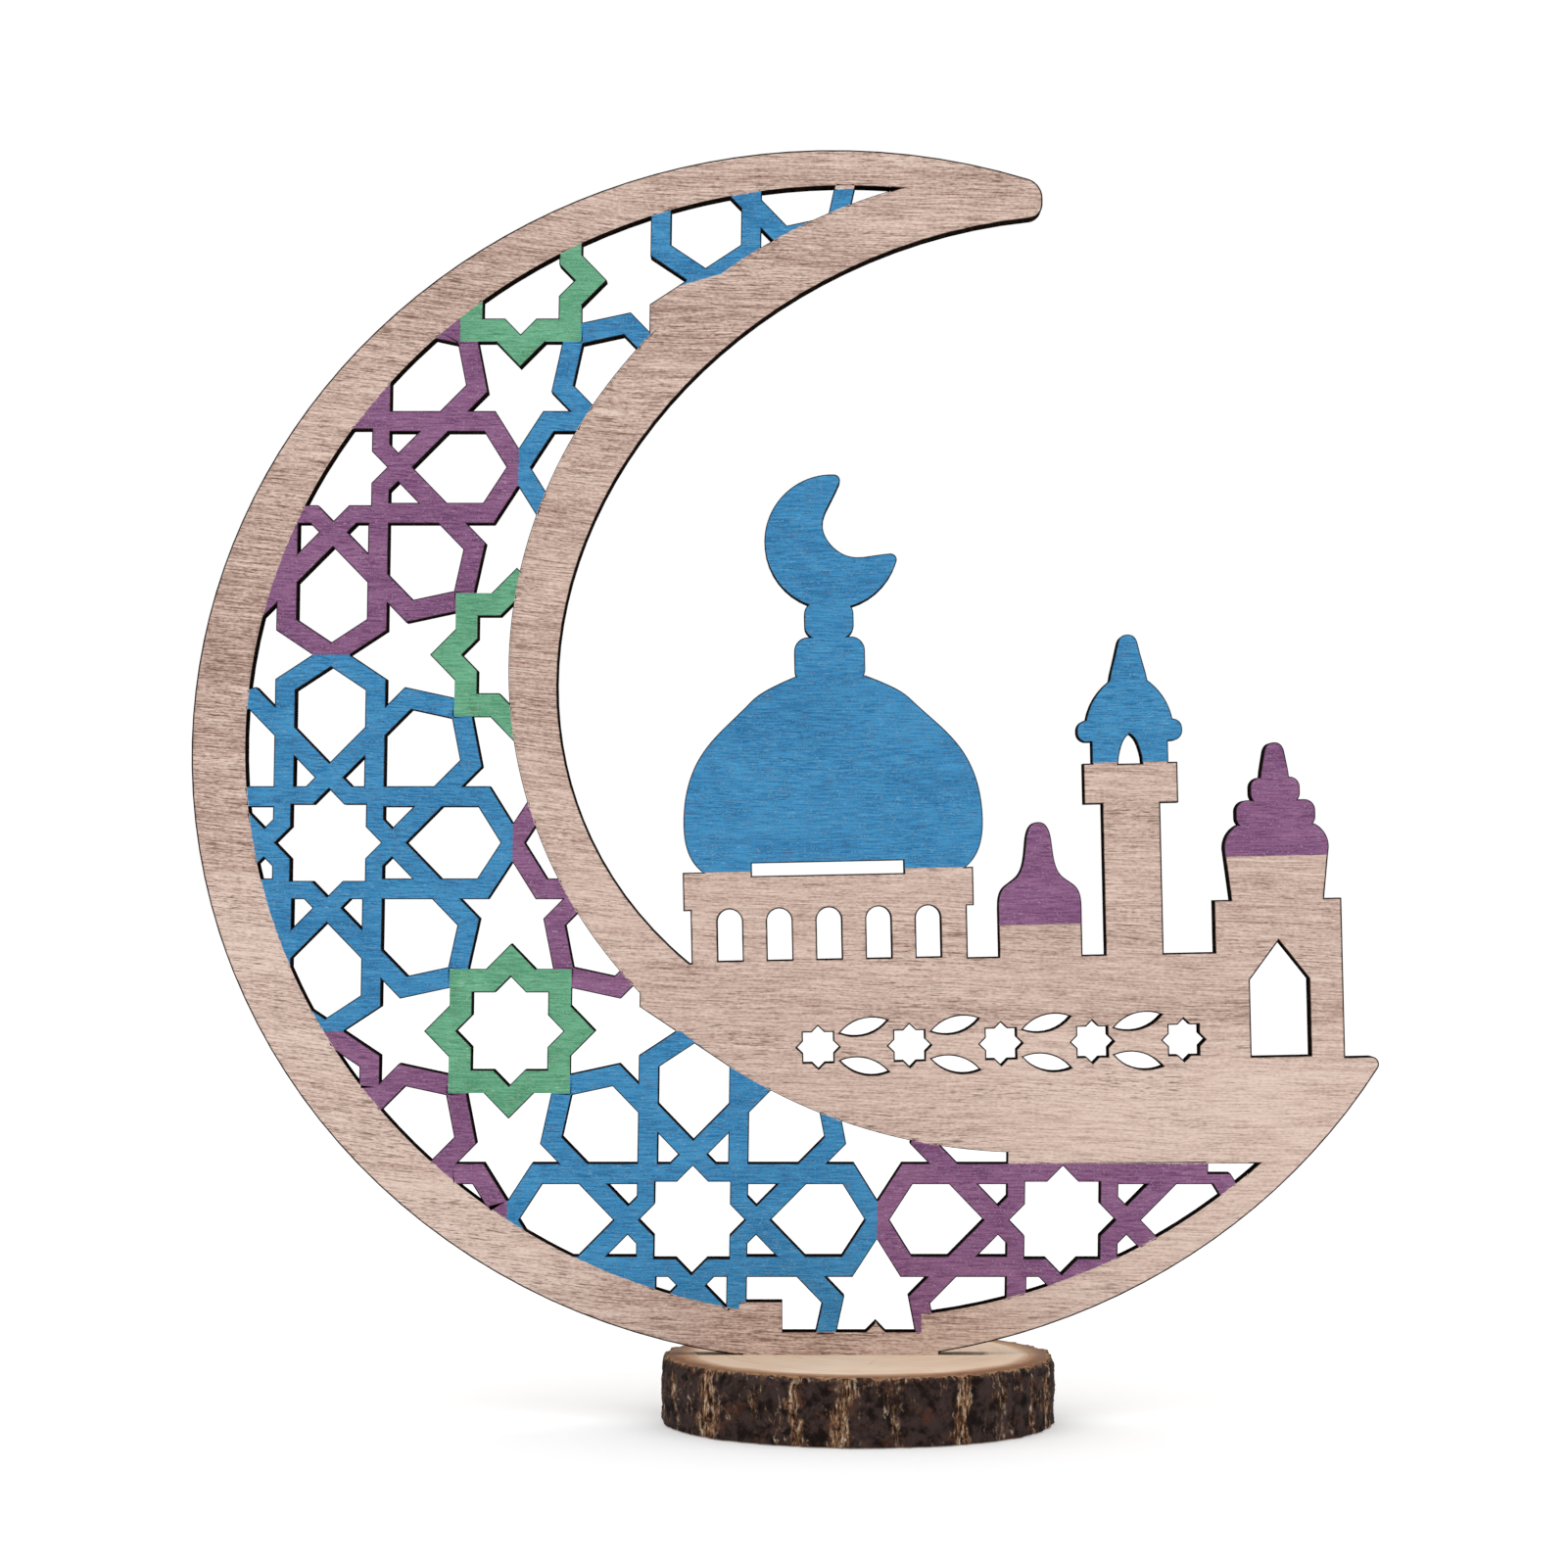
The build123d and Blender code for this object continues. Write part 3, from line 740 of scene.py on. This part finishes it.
def innerBarkFinish():
    look = innerBarkLook
    material, shader, spot = startMaterial("inner_bark_fibres")
    x, y, z = split(spot)
    stir = cloud(spot, *look["stir"])
    reach = (x * x + y * y) ** 0.5 + swing(stir, look["stirReach"])
    layers = stretched(reach, turnAround(x, y), z, look["layers"])
    depth = frayed(reach, layers, *look["darkLimits"])
    first, between, last = look["stops"]
    stops = [(first, look["tan"]), (last, look["dark"]), (between, look["brown"])]
    plug(
        shader,
        Base_Color=ramp(depth, stops),
        Roughness=look["roughness"] + look["layerRoughness"] * layers,
        Normal=bumped(layers + stir, *look["bump"]),
    )
    return material


def giveFinish(node, material):
    nodes[node].data.materials.clear()
    nodes[node].data.materials.append(material)


giveFinish("wood_slice", sliceWoodFinish())
giveFinish("inner_bark", innerBarkFinish())
print("slice finished")

# Outer bark: dark plates between ragged fissures that show pale fibres
barkShape = {
    "around": 760,
    "rows": 36,
    "smooth": math.radians(50),
    "fissureDepth": 0.85,
    "fissureWidth": 0.34,
    "widthLeast": 0.5,
    "widthMore": 1.2,
    "wander": ((1.5, 5.0, 4.0, 4.0), (0.5, 1.6, 1.2, 9.0)),  # reach, size around and up, seed
    "along": (3.7, 3.5, 1.0),  # step from one fissure to the next, length, seed
    "closing": 0.75,
    "deepPace": 2.4,
    "leastDeep": 0.25,
    "raggedWidth": 1.9,
    "raggedPace": (4.1, 1.0),
    "leastRagged": 0.35,
    "leastTorn": 0.4,
    "swell": 0.62,
    "lumps": 0.36,
    "lumpSize": (2.6, 3.0),
    "lumpTall": 0.6,
    "crumbs": 0.18,
    "crumbSize": (0.7, 11.0),
    "highest": 0.6,
    "chip": 0.55,
    "chipSize": (1.8, 23.0),
    "chipLevel": 2.0,
    "chipMore": 0.25,
    "chipReach": 2.5,
    "roundedTop": (0.25, 1.5),
    "raisedFoot": (0.15, 1.5),
    "fractal": (1.0, 2.0, 4),
}


def fissureAngles():
    angles = []
    for step in range(branch["ridges"]):
        turn = 2 * math.pi * step / branch["ridges"]
        aside = branch["drift"] * math.pi / branch["ridges"]
        angles.append(turn + aside * math.sin(branch["driftWaves"] * turn))
    return np.array(angles)


# The same angle between minus half a turn and plus half a turn
def halfTurn(angle):
    return (angle + math.pi) % (2 * math.pi) - math.pi


# A share from nought to one that differs from fissure to fissure
def unevenShare(number, pace, start=0.0):
    return 0.5 + 0.5 * math.sin(number * pace + start)


def grit(x, y, z, wide, seed):
    return noise.fractal(Vector((x / wide + seed, y / wide, z / wide)), *barkShape["fractal"])


def drifted(x, y, z, reach, around, up, seed):
    return reach * noise.noise(Vector((x / around, y / around, z / up + seed)))


# A tube with many rows, closed by an inner wall
def barkTube():
    height = branch["height"]
    bpy.ops.object.select_all(action="DESELECT")
    bpy.ops.mesh.primitive_cylinder_add(
        vertices=barkShape["around"],
        radius=branch["outerBark"] * mm,
        depth=height * mm,
        end_fill_type="NOTHING",
        location=(0, 0, height / 2 * mm),
    )
    bark = bpy.context.object
    bark.name = bark.data.name = "ragged_outer_bark"
    bpy.ops.object.transform_apply(location=True, rotation=True, scale=True)
    bpy.context.tool_settings.mesh_select_mode = (False, True, False)
    bpy.ops.object.mode_set(mode="EDIT")
    bpy.ops.mesh.select_all(action="DESELECT")
    bpy.ops.object.mode_set(mode="OBJECT")
    for edge in bark.data.edges:
        low, high = [bark.data.vertices[corner].co for corner in edge.vertices]
        edge.select = abs(low.z - high.z) > height / 2 * mm
    bpy.ops.object.mode_set(mode="EDIT")
    bpy.ops.mesh.subdivide(number_cuts=barkShape["rows"] - 1)
    # the two open ends turn inwards and meet in an inner wall
    bpy.ops.mesh.select_all(action="DESELECT")
    bpy.ops.mesh.select_non_manifold()
    bpy.ops.mesh.extrude_edges_move()
    shrink = branch["innerBark"] / branch["outerBark"]
    bpy.ops.transform.resize(value=(shrink, shrink, 1), center_override=(0, 0, 0))
    bpy.ops.mesh.bridge_edge_loops()
    bpy.ops.mesh.select_all(action="SELECT")
    bpy.ops.mesh.normals_make_consistent(inside=False)
    bpy.ops.object.mode_set(mode="OBJECT")
    return bark


# Moves the outer corners into fissures, lumps, crumbs and a chipped top, and marks them
def roughen(bark):
    shape = barkShape
    mesh = bark.data
    height = branch["height"]
    fissures = fissureAngles()
    between = (branch["innerBark"] + branch["outerBark"]) / 2 * mm
    fissure = mesh.attributes.new("fissure", "FLOAT", "POINT").data
    ragged = mesh.attributes.new("ragged", "FLOAT", "POINT").data
    crown = mesh.attributes.new("crown", "FLOAT", "POINT").data
    step, length, seed = shape["along"]
    rounding, roundedHeight = shape["roundedTop"]
    raising, raisedHeight = shape["raisedFoot"]
    for vertex in mesh.vertices:
        x, y, z = vertex.co / mm
        reach = math.hypot(x, y)
        angle = math.atan2(y, x) % (2 * math.pi)
        if reach * mm < between:
            inside = branchReach(branch["innerBark"], angle)
            vertex.co.x = inside * math.cos(angle) * mm
            vertex.co.y = inside * math.sin(angle) * mm
            crown[vertex.index].value = 1.0
            continue
        wander = sum(drifted(x, y, z, *row) for row in shape["wander"])
        nearest = int(np.argmin(np.abs(halfTurn(fissures - angle)) * reach))
        signed = halfTurn(angle - fissures[nearest]) * reach + wander
        along = noise.noise(Vector((nearest * step, z / length, seed)))
        wide = shape["fissureWidth"] * (shape["widthLeast"] + shape["widthMore"] * abs(along))
        deep = unevenShare(nearest, shape["deepPace"])
        crack = crowded(deep, shape["leastDeep"]) * math.exp(-((signed / wide) ** 2))
        crack *= min(1.0, shape["closing"] + along)
        raggedShare = crowded(unevenShare(nearest, *shape["raggedPace"]), shape["leastRagged"])
        spread = shape["raggedWidth"] * raggedShare
        lump = grit(x, y, z * shape["lumpTall"], *shape["lumpSize"])
        crumb = grit(x, y, z, *shape["crumbSize"])
        outside = branchReach(branch["outerBark"], angle) + branch["ridge"] * shape["swell"]
        outside -= shape["fissureDepth"] * crack
        lumpDip = shape["lumps"] * (shape["highest"] - lump)
        crumbDip = shape["crumbs"] * (shape["highest"] - crumb)
        outside -= lumpDip + crumbDip
        fromTop = height - z
        chipped = grit(x, y, shape["chipLevel"], *shape["chipSize"]) + shape["chipMore"]
        chip = shape["chip"] * max(0.0, chipped)
        if fromTop < roundedHeight:
            outside -= rounding * (1 - fromTop / roundedHeight) ** 2
        lowered = chip * max(0.0, 1 - fromTop / shape["chipReach"])
        raised = raising * max(0.0, 1 - z / raisedHeight)
        vertex.co.x = outside * math.cos(angle) * mm
        vertex.co.y = outside * math.sin(angle) * mm
        vertex.co.z = (z - lowered + raised) * mm
        fissure[vertex.index].value = max(0.0, min(1.0, crack))
        torn = math.exp(-((signed / spread) ** 2)) * crowded(deep, shape["leastTorn"])
        ragged[vertex.index].value = torn
    selectOnly(bark)
    bpy.ops.object.shade_smooth_by_angle(angle=shape["smooth"])


# Limits of three numbers say how far noise frays an edge, then from where to where it rises
barkLook = {
    "plate": paint(62, 48, 45),
    "plateDark": paint(22, 13, 10),
    "plateRed": paint(84, 52, 40),
    "fibre": paint(156, 118, 86),
    "crack": paint(40, 22, 14),
    "flake": paint(222, 206, 186),
    "worn": paint(98, 68, 48),
    "sawn": paint(184, 140, 104),
    "sawnDark": paint(136, 96, 70),
    "stops": (0.38, 0.46, 0.55, 0.64),
    "plates": (0.30, 4.0, 0.6),
    "crumbs": (1.5, 5.0, 0.7),
    "soft": (0.55, 3.0, 0.55),
    "streaks": ((1.6, 1.6, 0.45), 4.0, 0.65),
    "strands": ((2.4, 2.4, 0.6), 3.0, 0.62),
    "clumps": ((0.4, 0.4, 0.3), 3.0, 0.6),
    "plateLimits": (0.45, 0.36, 0.64),
    "redLimits": (0.3, 0.54, 0.66),
    "redShare": 0.7,
    "zoneLeast": 0.35,
    "zoneClumps": 0.9,
    "zoneLimits": (0.5, 0.22, 0.60),
    "bareLimits": (1.3, 0.30, 0.55),
    "webSize": 3.2,
    "webTall": 0.45,
    "webStir": (4.0, 4.0, 1.6),
    "tornLimits": (0.12, 0.0, 0.06),
    "tornClumps": (0.46, 0.60),
    "tornShare": 0.6,
    "topLimits": (2.0, 7.9, 8.6),
    "topShare": 0.7,
    "openedShare": 0.9,
    "sawnLimits": (0.36, 0.62),
    "crownLimits": (0.5, 0.05, 0.40),
    "paleLimits": (0.56, 0.68),
    "paleBump": 0.3,
    "tornBump": 0.3,
    "roughness": 0.78,
    "crumbRoughness": 0.15,
    "bump": (0.0004, 0.9),
    "gloss": 0.12,
}


def barkFinish():
    look = barkLook
    material, shader, spot = startMaterial("ragged_bark")
    x, y, z = split(spot)
    plates, crumbs, soft = [cloud(spot, *look[key]) for key in ("plates", "crumbs", "soft")]
    streaks = stretched(x, y, z, *look["streaks"])
    strands = stretched(x, y, z, *look["strands"])
    clumps = stretched(x, y, z, *look["clumps"])
    colour = mixed(frayed(soft, crumbs, *look["plateLimits"]), look["plateDark"], look["plate"])
    red = frayed(plates, crumbs, *look["redLimits"]) * look["redShare"]
    colour = mixed(red, colour, look["plateRed"])
    first, second, third, last = look["stops"]
    stops = [(first, look["crack"]), (last, look["flake"])]
    stops += [(second, look["worn"]), (third, look["fibre"])]
    fibres = ramp(strands, stops)
    # where the plates are open: beside and in the fissures, along a web of tears and at the top
    near = attribute(spot, "ragged") * (look["zoneLeast"] + clumps * look["zoneClumps"])
    zone = frayed(near, crumbs, *look["zoneLimits"])
    bare = frayed(attribute(spot, "fissure"), streaks, *look["bareLimits"])
    stirX, stirY, stirZ = look["webStir"]
    stirred = joined(
        x + swing(clumps, stirX),
        y + swing(plates, stirY),
        z * look["webTall"] + swing(streaks, stirZ),
    )
    webInputs = {"Vector": stirred, "Scale": 1.0 / look["webSize"]}
    web = stirred.node("TexVoronoi", webInputs, feature="DISTANCE_TO_EDGE")
    torn = 1.0 - frayed(web, crumbs, *look["tornLimits"])
    torn = torn * ease(clumps, *look["tornClumps"])
    topWear = frayed(z, streaks, *look["topLimits"])
    opened = largest(torn * look["tornShare"], topWear * look["topShare"])
    opened = largest(largest(zone, bare), opened)
    colour = mixed(opened * look["openedShare"], colour, fibres)
    # the sawn edge along the top
    sawn = mixed(ease(crumbs, *look["sawnLimits"]), look["sawnDark"], look["sawn"])
    onCrown = frayed(attribute(spot, "crown"), crumbs, *look["crownLimits"])
    pale = opened * ease(strands, *look["paleLimits"])
    height = crumbs + streaks + pale * look["paleBump"] - torn * look["tornBump"]
    plug(
        shader,
        Base_Color=mixed(onCrown, colour, sawn),
        Roughness=look["roughness"] + look["crumbRoughness"] * crumbs,
        Normal=bumped(height, *look["bump"]),
    )
    setGloss(shader, look["gloss"])
    return material


bark = barkTube()
roughen(bark)
bark.data.materials.append(barkFinish())
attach(bark, "base")
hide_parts("outer_bark")
print("bark has", len(bark.data.polygons), "faces")

# Plain white floor under a bright, even sky
floorLook = {
    "size": 8.0,
    "colour": paint(254, 254, 254),
    "shade": paint(250, 250, 250),
    "clouds": (0.02, 2.0),
    "roughness": 0.9,
    "glow": 0.12,
}
bpy.ops.object.select_all(action="DESELECT")
bpy.ops.mesh.primitive_plane_add(size=floorLook["size"], location=(0, 0, 0))
floor = bpy.context.object
floor.name = "floor"
floorMaterial, floorShader, floorSpot = startMaterial("plain_floor")
floorShade = cloud(floorSpot, *floorLook["clouds"])
plug(floorShader, Base_Color=mixed(floorShade, floorLook["colour"], floorLook["shade"]))
floorShader.inputs["Roughness"].default_value = floorLook["roughness"]
floorShader.inputs["Emission Color"].default_value = floorLook["colour"]
floorShader.inputs["Emission Strength"].default_value = floorLook["glow"]
floor.data.materials.append(floorMaterial)

skyLook = {"colour": (1.0, 1.0, 1.0, 1.0), "strength": 1.0}
world = bpy.data.worlds.new("soft_sky")
world.use_nodes = True
background = world.node_tree.nodes["Background"]
background.inputs["Color"].default_value = skyLook["colour"]
background.inputs["Strength"].default_value = skyLook["strength"]
scene = bpy.context.scene
scene.world = world
scene.view_settings.view_transform = "Standard"


def aimAt(thing, target):
    aim = Vector(target) - thing.location
    thing.rotation_euler = aim.to_track_quat("-Z", "Y").to_euler()


# Two large soft lamps: above left and above right
lampTarget = (0, 0, 0.07)
lamps = {
    "lamp_left": {"place": (-0.55, -0.55, 0.75), "size": 0.6, "power": 1.0},
    "lamp_right": {"place": (0.6, -0.45, 0.55), "size": 0.6, "power": 0.5},
}
for name, look in lamps.items():
    bpy.ops.object.light_add(type="AREA", location=look["place"])
    lamp = bpy.context.object
    lamp.name = name
    lamp.data.size = look["size"]
    lamp.data.energy = look["power"]
    aimAt(lamp, lampTarget)

# Camera: level with the lower half, close in front
cameraLook = {
    "place": (-0.0094, -0.480, 0.068),
    "target": (-0.0094, 0.0, 0.0808),
    "lens": 86.5,
    "sensor": 36.0,
    "clip": 0.01,
}
bpy.ops.object.camera_add(location=cameraLook["place"])
camera = bpy.context.object
aimAt(camera, cameraLook["target"])
camera.data.lens = cameraLook["lens"]
camera.data.sensor_width = cameraLook["sensor"]
camera.data.clip_start = cameraLook["clip"]
scene.camera = camera
print("stage, lamps and camera done")
